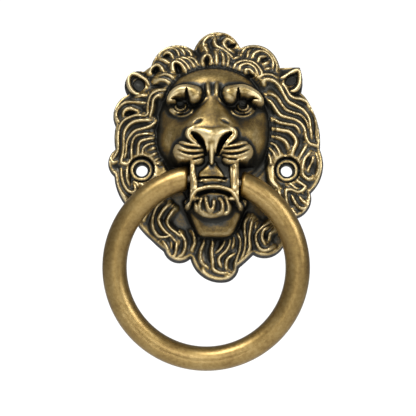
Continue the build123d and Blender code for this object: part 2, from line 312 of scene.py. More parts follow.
def soft_max(a, b, blend):
    """The larger of two fields, with their meeting line rounded over a height of blend."""
    near = np.maximum(blend - np.abs(a - b), 0) / blend
    return np.maximum(a, b) + near * near * blend * 0.25


def soft_min(a, b, blend):
    return -soft_max(-a, -b, blend)


def blur(field, radius):
    """Gaussian blur of a grid field; radius in millimetres."""
    sigma = radius / CELL
    reach = int(3 * sigma) + 1
    weights = np.exp(-0.5 * (np.arange(-reach, reach + 1) / sigma) ** 2)
    weights /= weights.sum()
    for axis in (0, 1):
        pads = [(reach, reach) if a == axis else (0, 0) for a in (0, 1)]
        padded = np.pad(field, pads, mode="edge")
        field = sum(w * np.take(padded, np.arange(i, i + field.shape[axis]), axis)
                    for i, w in enumerate(weights))
    return field


def smooth_curve(points, spacing=CURVE_STEP):
    """A Catmull-Rom curve through given points; extra columns are carried along."""
    p = np.array(points, float)
    p = np.vstack([2 * p[0] - p[1], p, 2 * p[-1] - p[-2]])
    line = []
    for i in range(1, len(p) - 2):
        steps = max(2, int(np.linalg.norm(p[i + 1, :2] - p[i, :2]) / spacing))
        t = (np.arange(steps) / steps)[:, None]
        a, b, c, d = p[i - 1], p[i], p[i + 1], p[i + 2]
        line.append(0.5 * (2 * b + (c - a) * t + (2 * a - 5 * b + 4 * c - d) * t ** 2
                           + (3 * b - a - 3 * c + d) * t ** 3))
    line.append(p[-2][None, :])
    return np.vstack(line)


# ================================================================ the grid and the CAD outline
def cad_outline():
    """The mask's outer edge on the door, as a closed loop of (x, z) in millimetres."""
    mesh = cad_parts["lion_mask"].data
    co = np.array([v.co for v in mesh.vertices]) / MM
    key = {}
    ids = []
    for x, y, z in co:
        on_door = abs(y) < 1e-4
        ids.append(key.setdefault((round(x, 3), round(z, 3)), len(key)) if on_door else -1)
    used = {}
    for poly in mesh.polygons:
        corners = [ids[v] for v in poly.vertices]
        if min(corners) >= 0:
            for a, b in zip(corners, corners[1:] + corners[:1]):
                used[frozenset((a, b))] = used.get(frozenset((a, b)), 0) + 1
    links = {}
    for edge, count in used.items():
        if count == 1:
            a, b = edge
            links.setdefault(a, []).append(b)
            links.setdefault(b, []).append(a)
    places = list(key)
    start = max(links, key=lambda v: places[v][1])
    loop, previous, here = [start], None, start
    while True:
        following = next(v for v in links[here] if v != previous)
        if following == start:
            break
        loop.append(following)
        previous, here = here, following
    return np.array([places[v] for v in loop])


def distance_to_loop(x, z, loop):
    """Signed distance to a closed loop, positive inside, and the nearest point on it."""
    best = np.full(x.shape, 1e9)
    near_x, near_z = x.copy(), z.copy()
    inside = np.zeros(x.shape, bool)
    for (ax, az), (bx, bz) in zip(loop, np.roll(loop, -1, 0)):
        dx, dz = bx - ax, bz - az
        t = np.clip(((x - ax) * dx + (z - az) * dz) / (dx * dx + dz * dz), 0, 1)
        px, pz = ax + t * dx, az + t * dz
        d = (x - px) ** 2 + (z - pz) ** 2
        closer = d < best
        best = np.where(closer, d, best)
        near_x, near_z = np.where(closer, px, near_x), np.where(closer, pz, near_z)
        if az != bz:
            crosses = ((az > z) != (bz > z)) & (x < (z - az) / dz * dx + ax)
            inside ^= crosses
    distance = np.sqrt(best)
    return np.where(inside, distance, -distance), near_x, near_z


OUTLINE = cad_outline()
low, high = OUTLINE.min(0) - 3 * CELL, OUTLINE.max(0) + 3 * CELL
columns = int((high[0] - low[0]) / CELL) + 1
rows = int((high[1] - low[1]) / CELL) + 1
X, Z = np.meshgrid(low[0] + np.arange(columns) * CELL, low[1] + np.arange(rows) * CELL, indexing="ij")


def window(points, reach):
    """Slices of the grid that hold every cell within reach of some points."""
    lo = ((points.min(0)[:2] - reach - low) / CELL).astype(int).clip(0)
    hi = ((points.max(0)[:2] + reach - low) / CELL).astype(int) + 2
    return np.s_[lo[0]:hi[0], lo[1]:hi[1]]


def nearest_on(line, area):
    """For each cell in the area: distance to the line, and the place along it as a whole and a part."""
    x, z = X[area], Z[area]
    index = ((x[..., None] - line[:, 0]) ** 2 + (z[..., None] - line[:, 1]) ** 2).argmin(-1)
    step = np.gradient(line[:, :2], axis=0)
    length = np.linalg.norm(step, axis=1)
    dx, dz = x - line[index, 0], z - line[index, 1]
    part = ((dx * step[index, 0] + dz * step[index, 1]) / length[index] ** 2).clip(-0.5, 0.5)
    part = np.where(((index == 0) & (part < 0)) | ((index == len(line) - 1) & (part > 0)), 0, part)
    return np.hypot(dx - part * step[index, 0], dz - part * step[index, 1]), index, part


def slide(x, z, depth):
    """Where a point drawn on the plane DRAWN_DEPTH lies once it is at another depth."""
    k = (EYE_DISTANCE - depth) / (EYE_DISTANCE - DRAWN_DEPTH)
    return EYE[0] + (x - EYE[0]) * k, EYE[1] + (z - EYE[1]) * k


def slide_onto(field, points):
    """Slide drawn points on to the surface of a field."""
    placed = []
    for x, z in points:
        there = (x, z)
        for _ in range(3):
            i, j = int(round((there[0] - low[0]) / CELL)), int(round((there[1] - low[1]) / CELL))
            there = slide(x, z, field[i, j])
        placed.append(there)
    return placed


def ellipse(cx, cz, rx, rz, turn=0.0):
    """Squared elliptical radius about a centre: 0 in the middle, 1 on the ellipse."""
    a = math.radians(turn)
    dx, dz = X - cx, Z - cz
    u, v = dx * math.cos(a) + dz * math.sin(a), dz * math.cos(a) - dx * math.sin(a)
    return (u / rx) ** 2 + (v / rz) ** 2


def dome(cx, cz, rx, rz, top, base, turn=0.0, square=1.0):
    """A rounded form that keeps falling outside its ellipse. square above 1 flattens its top."""
    q = ellipse(*slide(cx, cz, top), rx, rz, turn) ** square
    return base + (top - base) * np.where(q < 1, np.sqrt(np.clip(1 - q, 0, 1)), 1 - q)


def bar(points, drop, square=1.0, drawn=True):
    """A rounded bar along a curve of (x, z, crest depth, half width), drop deep at its sides.

    Points that are drawn lie on the plane DRAWN_DEPTH and slide to their own depth."""
    if drawn:
        points = [(*slide(x, z, crest), crest, half_width) for x, z, crest, half_width in points]
    line = smooth_curve(points)
    area = window(line, line[:, 3].max() + 6)
    d, index, part = nearest_on(line, area)
    slope = np.gradient(line[:, 2:], axis=0)
    crest, half_width = (line[index, 2:] + slope[index] * part[..., None]).transpose(2, 0, 1)
    q = (d / half_width) ** (2 * square)
    field = np.full(X.shape, -1e3)
    field[area] = crest - drop + drop * np.where(q < 1, np.sqrt(np.clip(1 - q, 0, 1)), 1 - q)
    return field


def groove(field, points, steep=9.0, blend=0.5):
    """Press a channel along a curve of (x, z, floor depth, half width)."""
    surface = slide_onto(field, [p[:2] for p in points])
    line = smooth_curve([(*s, *p[2:]) for s, p in zip(surface, points)])
    area = window(line, line[:, 3].max() + 2)
    d, index, _ = nearest_on(line, area)
    q = d / line[index, 3]
    field[area] = soft_min(field[area], line[index, 2] + steep * q ** 3, blend)
    return field


def score(field, points, amount, width, ends=0.8):
    """Add a fine ridge (amount above 0) or groove (below 0) along a curve, faded at its ends."""
    line = smooth_curve(slide_onto(field, points))
    area = window(line, width * 3)
    d, index, part = nearest_on(line, area)
    along = (index + part) * CURVE_STEP
    fade = smoothstep(-0.3, ends, np.minimum(along, (len(line) - 1) * CURVE_STEP - along))
    field[area] += amount * fade * np.exp(-(d / width) ** 2)
    return field


def pit(field, cx, cz, rx, rz, turn, floor, blend=0.6):
    """Press a hollow down to a floor depth."""
    q = ellipse(cx, cz, rx, rz, turn)
    return soft_min(field, floor + 4.5 * q ** 1.5, blend)


# ================================================================ hair
def hair(edge_distance, face_distance):
    """The mane: a base swelling from the edge to the face, with strands, valleys and curls."""
    heights = np.array(HAIR_AT_FACE)
    at_face = np.interp(Z, heights[:, 0], heights[:, 1])
    at_edge = np.interp(Z, (-30, 40), HAIR_EDGE)
    share = edge_distance.clip(0) / (edge_distance.clip(0) + face_distance.clip(0) + 1e-6)
    base = at_edge + (at_face - at_edge) * smoothstep(-0.15, 1.05, share)

    crest = np.zeros(X.shape)
    first, second = np.full(X.shape, 9.0), np.full(X.shape, 9.0)
    for number, strand in enumerate(STRANDS):
        width = RIDGE_WIDTH * (0.88 + 0.42 * (number * 0.618 % 1))
        line = smooth_curve(strand)
        area = window(line, 4.0)
        d, index, part = nearest_on(line, area)
        along = (index + part) * CURVE_STEP
        rest = (len(line) - 1) * CURVE_STEP - along
        fade = smoothstep(-0.6, 2.0, np.minimum(along, rest)) * 0.75 + 0.25
        crest[area] = np.maximum(crest[area], fade * np.exp(-(d / width) ** 2))
        second[area] = np.minimum(second[area], np.maximum(first[area], d))
        first[area] = np.minimum(first[area], d)
    # the outermost strand follows the edge, except where others already run along it
    inset = np.array(RIM_INSET)
    rim = np.abs(edge_distance - np.interp(Z, inset[:, 0], inset[:, 1]))
    crest = np.maximum(crest, RIM_HEIGHT / RIDGE_HEIGHT * np.exp(-(rim / 0.55) ** 2))
    between = np.exp(-((second - first) / MINOR_WIDTH) ** 2) * smoothstep(0.75, 1.1, first)
    between *= 1 - smoothstep(1.9, 2.8, first)
    swell = np.exp(-(first / 2.6) ** 2)
    return (base + RIDGE_HEIGHT * crest + 0.7 * swell - VALLEY * smoothstep(0.7, 2.6, first)
            + MINOR_HEIGHT * between)


# ================================================================ face
def eye(f, cx, cz, side):
    """Sunken eyeball with a ringed iris and two lower lids. side is -1 for the left."""
    f = soft_max(f, dome(cx, cz, 4.6, 4.2, 19.0, 15.6, square=1.3), 1.0)
    rings = ((2.0, 1.35, 0.42, 150, 400), (3.5, 1.1, 0.42, 195, 350), (5.0, 1.1, 0.5, 200, 345))
    for radius, amount, width, start, end in rings:
        points = []
        for a in np.radians(np.linspace(start, end, 8)):
            points.append((cx - side * 0.2 + radius * 1.05 * math.cos(a), cz + radius * 0.86 * math.sin(a)))
        f = score(f, points, amount, width)
    return score(f, ((cx - 0.5, cz + 0.6), (cx + 0.5, cz + 0.4)), -0.7, 0.7, ends=0.1)


def brow(f, crest, notch):
    """A heavy knotted brow: one rounded form, notched from below and hooked at its outer end."""
    f = soft_max(f, bar(crest, 8.0, square=1.15), 3.0)
    return groove(f, notch, 6.0, 0.4)


def pad(f, cx, side, lines):
    """A whisker pad crossed by four curved ridges with grooves between."""
    f = soft_max(f, dome(cx, 6.0, 7.3, 5.2, 29.6, 19, turn=side * 6, square=1.7), 1.4)
    f = soft_max(f, dome(cx - side * 2.4, 2.4, 4.0, 3.2, 28.8, 19, square=1.3), 1.4)
    for line in lines:
        f = score(f, line, 1.1, 0.6, ends=1.0)
    for upper, lower in zip(lines, lines[1:]):
        between = [((a[0] + b[0]) / 2, (a[1] + b[1]) / 2) for a, b in zip(upper, lower)]
        f = score(f, between, -0.9, 0.5, ends=1.0)
    return f


def nose(f):
    """Bridge, tip, wings, septum and the two long nostrils."""
    bridge = bar(((-1.0, 28.6, 23.6, 4.2), (-1.0, 26, 25.2, 4.8), (-1.0, 23.4, 26.8, 6.0),
                  (-1.1, 20.8, 28.6, 8.0), (-1.2, 18.4, 30.4, 9.8), (-1.3, 15.6, 32.0, 10.8)),
                 7.0, square=1.3)
    f = blur(soft_max(f, bridge.clip(4), 8.0), 1.2)
    tip = bar(((-8.6, 13.0, 30.4, 2.9), (-5.2, 13.2, 32.2, 3.4), (-1.3, 12.4, 33.4, 3.9),
               (2.6, 13.2, 32.2, 3.4), (6.0, 13.0, 30.4, 2.9)), 9.0, square=1.2)
    f = soft_max(f, tip, 2.5)
    septum = bar(((-1.3, 13, 33.0, 3.6), (-1.2, 9.8, 31.8, 3.0), (-1.2, 6.6, 30.4, 2.0),
                  (-1.2, 3.4, 29.2, 1.4), (-1.2, 0.6, 28.4, 1.1)), 9.0, square=1.3)
    f = soft_max(f, septum, 0.5)
    for side in (-1, 1):
        def to_side(points):
            return [(NOSE_X + side * x, *rest) for x, *rest in points]
        wing = bar(to_side(((7.4, 15.4, 30.4, 1.2), (9.5, 14.0, 30.6, 1.3), (9.6, 11.8, 30.6, 1.25),
                            (8.2, 9.9, 30.8, 1.1), (6.2, 8.5, 31.0, 0.9))), 6.0)
        f = soft_max(f, wing, 0.5)
        f = groove(f, to_side(((7.8, 12.8, 25.0, 0.9), (6.6, 12.0, 23.5, 1.25), (5.0, 10.3, 22.5, 1.35),
                               (3.7, 7.8, 22.5, 1.25), (2.7, 4.8, 23.0, 1.0), (2.1, 1.6, 23.0, 0.8))))
        f = score(f, to_side(((7.6, 12.2), (5.8, 10.2), (4.4, 7.8), (3.2, 4.6))), 3.2, 0.26)
        f = score(f, to_side(((9.8, 15.6), (11.4, 13.2), (11.0, 10.4), (9, 8.6))), -0.5, 0.9)
        x, z = slide_onto(f, to_side([(5.7, 17.6)]))[0]
        f = f - 0.8 * np.exp(-ellipse(x, z, 1.9, 0.9, side * -25) ** 2)
    return f


def face():
    """The head from the forehead down to the whisker pads."""
    f = dome(-0.3, 17.5, 23.8, 24.0, 20.8, 8.0)
    f = soft_max(f, dome(-0.6, 30.5, 19.0, 12.4, 22.4, 10.5, square=1.1), 4.0)
    f = soft_max(f, dome(-0.8, 11.8, 22.8, 12.4, 26.2, 9.0), 5.0)
    f = soft_max(f, dome(-1.0, 20.0, 13.5, 9.0, 25.4, 9.0), 5.0)
    f = blur(f, 1.3)
    for x, z, size in ((-16.6, 14.4, 4.2), (15.4, 13.8, 4.8)):
        f = f + 1.2 * np.exp(-ellipse(*slide(x, z, 21), size, size))
    # eye sockets, deepest beside the bridge and under the inner brow
    for x, z, rx, rz, amount in ((-14.2, 23.6, 5.6, 3.6, 1.8), (11.8, 23.6, 5.6, 3.6, 1.8),
                                 (-7.8, 24.9, 3.2, 2.4, 2.4), (5.8, 24.9, 3.2, 2.4, 2.4)):
        f = f - amount * np.exp(-ellipse(*slide(x, z, 19), rx, rz) ** 1.3)
    f = nose(f)
    for crest, notch in BROWS:
        f = brow(f, crest, notch)
    f = eye(f, -14.2, 23.9, -1)
    f = eye(f, 11.8, 23.9, 1)
    # frown lines between the brows
    for x, amount in ((-2.9, 0.9), (0.9, 0.9), (-1.0, -0.6), (-4.6, -0.5), (2.6, -0.5)):
        f = score(f, ((x, 34.5), (x, 31), (x * 0.93, 28)), amount, 0.85, ends=2.5)
    for side, x in ((-1, -3.3), (1, 1.4)):
        f = score(f, ((x, 27.8), (x + side * 1.6, 25.6), (x + side * 3.4, 24)), 0.7, 0.4)
    for cx, side, lines in WHISKER_PADS:
        f = pad(f, cx, side, lines)
    return f


def jaw(f):
    """Mouth, fangs, lip, chin tuft and neck, straight-sided where the ring's arms pass."""
    crest = np.interp(Z, (-15, -11, -8.6, -8.2, -7.6, -6.4, -6.0, -5.6, 0, 4),
                      (24, 24.3, 24.4, 24.2, 24.2, 24.2, 23.8, 23.8, 23.6, 26))
    side = smoothstep(9.8, JAW_HALF_WIDTH, np.abs(X))
    end = smoothstep(-16.5, -14.6, Z) * (1 - smoothstep(3, 4.5, Z))
    m = soft_max(f, 5 + (crest - 5) * (1 - side) * end, 0.5)
    m = soft_max(m, bar(((-1.0, -0.4, 25.4, 2.2), (-1.1, -1.9, 25.8, 3.4), (-1.2, -3.3, 25.8, 4.6),
                         (-1.3, -4.4, 25.4, 5.4)), 2.0, square=2.0), 0.6)
    m = score(m, ((-7.2, -6.1), (-4, -5.6), (0.5, -5.6), (5.0, -6.1)), -1.6, 0.4)
    m = soft_max(m, bar(((-6.6, -7.3, 25.2, 0.5), (-3, -6.6, 25.8, 0.6), (0.6, -6.5, 25.8, 0.6),
                         (4.6, -7.2, 25.2, 0.5)), 2.5), 0.3)
    for points in FANGS:
        m = soft_max(m, bar(points, 6, square=1.4), 0.3)
        for shift in (-0.75, 0.15):
            m = score(m, [(x + shift, z) for x, z, _, _ in points], -0.7, 0.32, ends=0.4)
    m = soft_max(m, dome(-0.4, -16.8, 8.3, 5.9, 25.2, 15, square=1.5), 0.8)
    half_width = np.interp(Z, (-29.6, -28.6, -26.5, -22, -15), (5.2, 7.1, 8.4, 10.2, 13.0))
    across = np.clip(((X - 0.5) / half_width) ** 2, 0, 4)
    neck = np.interp(Z, (-30.2, -29.4, -28.2, -26, -22, -15), (5, 11, 14.5, 17, 18.6, 19.4))
    rounded = 7 + (neck - 7) * np.sqrt(np.clip(1 - across ** 1.2, 0, 1))
    neck = np.where(across < 1, rounded, 7 - 5 * (across - 1))
    m = soft_max(m, blur(np.where(Z < -13, neck, 5), 0.5), 1.5)
    m = soft_max(m, bar(LIP, 4.5), 0.3)
    m = score(m, ((-7.4, -12.5), (-3, -11.2), (1, -11), (4.4, -11.7), (7.0, -13)), -1.8, 0.8)
    for points in TUFT_HAIRS:
        m = score(m, points, 2.7, 0.72)
    return m


# ================================================================ the whole relief
def clear_of_ring(h):
    """Keep everything beside and below the jaw under the ring's arms."""
    beside = np.abs(X) - JAW_HALF_WIDTH
    under = ARM_LINE_HEIGHT + math.tan(math.radians(ARM_LINE_SLOPE)) * beside - Z
    hold = np.minimum(smoothstep(-0.5, 0.1, beside), smoothstep(-1.3, 0.2, under))
    hold = np.minimum(hold, smoothstep(ARMS_END - 1.5, ARMS_END, Z + 0.65 * beside))
    room = ARM_DEPTH - 0.4 + 24 * np.sqrt(np.clip(1 - hold, 0, 1))
    return np.where(hold > 0, soft_min(h, room, 0.4), h)


def screw_bosses(h):
    for x in (-SCREW_X, SCREW_X):
        r = np.hypot(X - x, Z)
        h = soft_min(h, 5.1 + 6 * (r - BOSS_R - 0.2).clip(0), 0.4)
        top = BOSS_HEIGHT - 0.25 - 0.3 * ((r - 4.2) / 0.9) ** 4
        h = np.where(r < BOSS_R + 0.3, soft_max(h, top, 0.2), h)
        h = np.where(r < SEAT_R + 0.15, np.minimum(h, SEAT_HEIGHT + 8 * (r - SEAT_R).clip(0)), h)
    return h


def front_relief(edge_distance):
    face_edge = [slide(x, z, HEAD_EDGE_DEPTH) for x, z in FACE_EDGE]
    face_distance = -distance_to_loop(X, Z, smooth_curve(face_edge + face_edge[:1], 1.0)[:-1])[0]
    mane = hair(edge_distance, face_distance)
    for rim, crest, cup in EARS:
        mane = soft_max(mane, bar([(x, z, crest, 1.15) for x, z in rim], 3.5, drawn=False), 0.4)
        mane = pit(mane, *cup, 0.5)
    for x, z, rx, rz, turn, depth in CURL_PITS:
        mane = mane - 0.7 * depth * np.exp(-ellipse(x, z, rx, rz, turn) ** 1.3)
    head = jaw(face())
    # the hair thins out where it meets the head, and the head starts from just under it
    mane = mane - 0.35 * np.exp(-(face_distance / 0.7) ** 2) - 6 * smoothstep(1.5, 6, -face_distance)
    h = soft_max(mane, head, 0.7)
    h = clear_of_ring(h)
    h = screw_bosses(h)
    draft = np.array(EDGE_DRAFT)
    slope = np.interp(Z, draft[:, 0], draft[:, 1])
    return soft_min(h, EDGE_HEIGHT + slope * edge_distance.clip(0), 0.7)


def back_relief(front, edge_distance):
    """The recess behind the mane and the hollow head, open to the door."""
    cx, cz = MANE_CENTRE
    i = ((cx + (X - cx) / POCKET_SCALE - low[0]) / CELL).round().astype(int)
    j = ((cz + (Z - cz) / POCKET_SCALE - low[1]) / CELL).round().astype(int)
    known = (i >= 0) & (j >= 0) & (i < columns) & (j < rows)
    shrunk = edge_distance[i.clip(0, columns - 1), j.clip(0, rows - 1)]
    pocket = np.where(known, shrunk, -9) * POCKET_SCALE
    back = POCKET_DEPTH * smoothstep(0, 1.2, blur(pocket, 0.4))
    q = ((X - HOLLOW_CENTRE[0]) / HOLLOW_HALF[0]) ** 2 + ((Z - HOLLOW_CENTRE[1]) / HOLLOW_HALF[1]) ** 2
    back = soft_max(back, HOLLOW_HALF[2] * np.sqrt(np.clip(1 - q, 0, 1)), 1.5) * (back > 0.01)
    back = soft_min(back, blur(front, 1.2) - 1.4, 0.8)
    for x in (-SCREW_X, SCREW_X):
        back = np.minimum(back, 4 * (np.hypot(X - x, Z) - BOSS_R).clip(0))
    return np.minimum(back, front - 1.0).clip(0)


# ================================================================ mesh of the mask
def mask_mesh():
    edge_distance, near_x, near_z = distance_to_loop(X, Z, OUTLINE)
    front = front_relief(edge_distance)
    back = back_relief(front, edge_distance)

    distance, px, pz = edge_distance.copy(), near_x, near_z
    for x in (-SCREW_X, SCREW_X):
        r = np.hypot(X - x, Z)
        closer = r - SCREW_HOLE_R < distance
        distance = np.where(closer, r - SCREW_HOLE_R, distance)
        px = np.where(closer, x + (X - x) / r.clip(1e-6) * SCREW_HOLE_R, px)
        pz = np.where(closer, Z / r.clip(1e-6) * SCREW_HOLE_R, pz)
    snapped = np.abs(distance) <= 0.5 * CELL
    valid = snapped | (distance > 0)
    x, z = np.where(snapped, px, X), np.where(snapped, pz, Z)

    # faces of the front: whole cells, and half cells along the edge
    number = np.arange(X.size).reshape(X.shape)
    corners = np.stack([number[:-1, :-1], number[1:, :-1], number[1:, 1:], number[:-1, 1:]], -1)
    ok = np.stack([valid[:-1, :-1], valid[1:, :-1], valid[1:, 1:], valid[:-1, 1:]], -1)
    flat_d = np.stack([distance[:-1, :-1], distance[1:, :-1], distance[1:, 1:], distance[:-1, 1:]], -1)
    count = ok.sum(-1)
    keep = (flat_d.mean(-1) > 0) | (flat_d.max(-1) > 0.5 * CELL)
    quads = corners[(count == 4) & keep]
    triangles = [corners[c][ok[c]] for c in zip(*np.nonzero((count == 3) & keep))]

    # the back repeats them, with blocks of four cells joined away from the edge
    block_rows, block_columns = (X.shape[0] - 1) // 2, (X.shape[1] - 1) // 2
    full = ((count == 4) & keep)[:block_rows * 2, :block_columns * 2]
    whole = full.reshape(block_rows, 2, block_columns, 2).all((1, 3))
    deep = np.abs(distance) > 2 * CELL
    whole &= deep[1:block_rows * 2:2, 1:block_columns * 2:2]
    in_block = np.zeros(count.shape, bool)
    in_block[:block_rows * 2, :block_columns * 2] = whole.repeat(2, 0).repeat(2, 1)
    back_faces = [list(q) for q in corners[(count == 4) & keep & ~in_block]]
    back_faces += [list(t) for t in triangles]
    padded = np.pad(whole, 1)
    for i, j in zip(*np.nonzero(whole)):
        a, b = 2 * i, 2 * j
        ring = [number[a, b]]
        sides = (((a + 1, b), padded[i + 1, j], (a + 2, b)),
                 ((a + 2, b + 1), padded[i + 2, j + 1], (a + 2, b + 2)),
                 ((a + 1, b + 2), padded[i + 1, j + 2], (a, b + 2)),
                 ((a, b + 1), padded[i, j + 1], None))
        for middle, joined, corner in sides:
            if not joined:
                ring.append(number[middle])
            if corner:
                ring.append(number[corner])
        back_faces.append(ring)

    # boundary edges of the front, as they run round each face
    loops = [np.stack([quads, np.roll(quads, -1, 1)], -1).reshape(-1, 2)]
    if triangles:
        three = np.array(triangles)
        loops.append(np.stack([three, np.roll(three, -1, 1)], -1).reshape(-1, 2))
    edges = np.vstack(loops)
    code = edges.min(1) * X.size + edges.max(1)
    _, index, times = np.unique(code, return_index=True, return_counts=True)
    rim = edges[index[times == 1]]

    size = X.size
    faces = [list(q) for q in quads] + [list(t) for t in triangles]
    faces += [[v + size for v in reversed(f)] for f in back_faces]
    faces += [[b, a, a + size, b + size] for a, b in rim]
    inside = distance > 0
    wear_and_shade = wear_and_shade_of(front, inside)
    points = np.concatenate([np.stack([x, -depth, z], -1).reshape(-1, 3) for depth in (front, back)])
    values = np.concatenate([wear_and_shade.ravel(), np.full(size, BACK_WEAR)])
    shade = np.concatenate([occlusion_shade_of(front, inside).ravel(), np.full(size, BACK_OCCLUSION_SHADE)])

    used = np.unique(np.concatenate([np.array(f) for f in faces]))
    renumber = np.full(size * 2, -1)
    renumber[used] = np.arange(len(used))
    mesh = bpy.data.meshes.new("lion_mask_cast")
    mesh.from_pydata((points[used] * MM).tolist(), [], [[int(renumber[v]) for v in f] for f in faces])
    for name, field in (("wear_and_shade", values), ("occlusion_shade", shade)):
        made = mesh.attributes.new(name, "FLOAT", "POINT")
        made.data.foreach_set("value", field[used].astype(np.float32))
    mesh.validate()
    mesh.polygons.foreach_set("use_smooth", [True] * len(mesh.polygons))
    mesh.set_sharp_from_angle(angle=math.radians(60))
    return mesh


def bore_cutter():
    """A spindle for the hinge's bore: narrow in the middle, wide at both mouths."""
    around, reach = 40, JAW_HALF_WIDTH + 0.8
    mouth = BORE_MIDDLE_R + (BORE_MOUTH_R - BORE_MIDDLE_R) * reach / JAW_HALF_WIDTH
    points = []
    for x, radius in ((-reach, mouth), (0, BORE_MIDDLE_R), (reach, mouth)):
        for k in range(around):
            turn = 2 * math.pi * k / around
            points.append((Vector((x, radius * math.cos(turn), radius * math.sin(turn))) + HINGE) * MM)
    faces = [range(around), range(3 * around - 1, 2 * around - 1, -1)]
    for row in (0, around):
        for k in range(around):
            n = (k + 1) % around
            faces.append((row + n, row + k, row + around + k, row + around + n))
    mesh = bpy.data.meshes.new("bore_cutter")
    mesh.from_pydata(points, [], faces)
    # painted shade inside the bore: its walls get dark values for both attributes
    for name, value in (("wear_and_shade", 0.25), ("occlusion_shade", 0.3)):
        mesh.attributes.new(name, "FLOAT", "POINT").data.foreach_set("value", [value] * len(points))
    return mesh


def cut_bore(cast):
    cutter = bpy.data.objects.new("bore_cutter", bore_cutter())
    bpy.context.scene.collection.objects.link(cutter)
    cut = cast.modifiers.new("bore", "BOOLEAN")
    cut.operation, cut.solver, cut.object = "DIFFERENCE", "MANIFOLD", cutter
    bored = bpy.data.meshes.new_from_object(cast.evaluated_get(bpy.context.evaluated_depsgraph_get()))
    cast.modifiers.clear()
    cast.data = bored
    bpy.data.objects.remove(cutter)


def proud_of(front, inside, radius):
    """How far the surface stands out from its surroundings, counting only the casting itself."""
    weight = blur(inside.astype(float), radius).clip(1e-3)
    return front - blur(np.where(inside, front, 0), radius) / weight


def wear_and_shade_of(front, inside):
    """0 in the valleys, 1 on the ridges that hands have rubbed bright; lowered on steep walls and by the
    listed patches of patina and painted shade.
    """
    worn_and_shaded = 0.47 + 0.47 * np.tanh(proud_of(front, inside, 0.9) * 2.1)
    worn_and_shaded = worn_and_shaded + proud_of(front, inside, 2.6) * 0.06
    for x, z, rx, rz, amount in PATINA_AND_SHADE:
        worn_and_shaded = worn_and_shaded - amount * np.exp(-ellipse(x, z, rx, rz) ** 1.5)
    steep = np.hypot(*np.gradient(blur(front, 0.25), CELL))
    return np.clip(worn_and_shaded - 0.24 * smoothstep(2.5, 7, steep) - 0.24 * smoothstep(7, 14, steep), 0, 1)


def occlusion_shade_of(front, inside):
    """Painted recess shade: 0 deep between raised forms, 1 out in the open."""
    return np.clip(0.62 + proud_of(front, inside, 4.0) * 0.07, 0, 1)


# ================================================================ materials
def node(tree, kind, **settings):
    made = tree.nodes.new(kind)
    for name, value in settings.items():
        if name in made.inputs:
            made.inputs[name].default_value = value
        else:
            setattr(made, name, value)
    return made


def ramp(tree, factor, stops):
    made = tree.nodes.new("ShaderNodeValToRGB")
    while len(made.color_ramp.elements) < len(stops):
        made.color_ramp.elements.new(0.5)
    for element, (place, colour) in zip(made.color_ramp.elements, stops):
        element.position = place
        element.color = (*colour, 1)
    tree.links.new(factor, made.inputs["Fac"])
    return made.outputs["Color"]


def noise(tree, scale, detail=4.0):
    place = tree.nodes.new("ShaderNodeTexCoord")
    made = node(tree, "ShaderNodeTexNoise", Scale=scale, Detail=detail, Roughness=0.55)
    tree.links.new(place.outputs["Object"], made.inputs["Vector"])
    return made.outputs["Fac"]


def maths(tree, operation, a, b):
    made = tree.nodes.new("ShaderNodeMath")
    made.operation = operation
    for socket, value in zip(made.inputs, (a, b)):
        if isinstance(value, (int, float)):
            socket.default_value = value
        else:
            tree.links.new(value, socket)
    return made.outputs[0]


def mix(tree, factor, a, b, blend="MIX"):
    made = tree.nodes.new("ShaderNodeMix")
    made.data_type = "RGBA"
    made.blend_type = blend
    for name, value in (("Factor", factor), ("A", a), ("B", b)):
        socket = next(s for s in made.inputs if s.name == name and s.type in ("VALUE", "RGBA")
                      and (name == "Factor") == (s.type == "VALUE"))
        if isinstance(value, (int, float)):
            socket.default_value = value
        else:
            tree.links.new(value, socket)
    return next(s for s in made.outputs if s.type == "RGBA")


def new_material(name):
    material = bpy.data.materials.new(name)
    material.use_nodes = True
    tree = material.node_tree
    return material, tree, tree.nodes["Principled BSDF"]


def bumps(tree, shader, layers):
    """Stack bump layers of (height socket, strength, distance in metres)."""
    previous = None
    for height, strength, distance in layers:
        bump = node(tree, "ShaderNodeBump", Strength=strength, Distance=distance)
        tree.links.new(height, bump.inputs["Height"])
        if previous:
            tree.links.new(previous, bump.inputs["Normal"])
        previous = bump.outputs["Normal"]
    tree.links.new(previous, shader.inputs["Normal"])


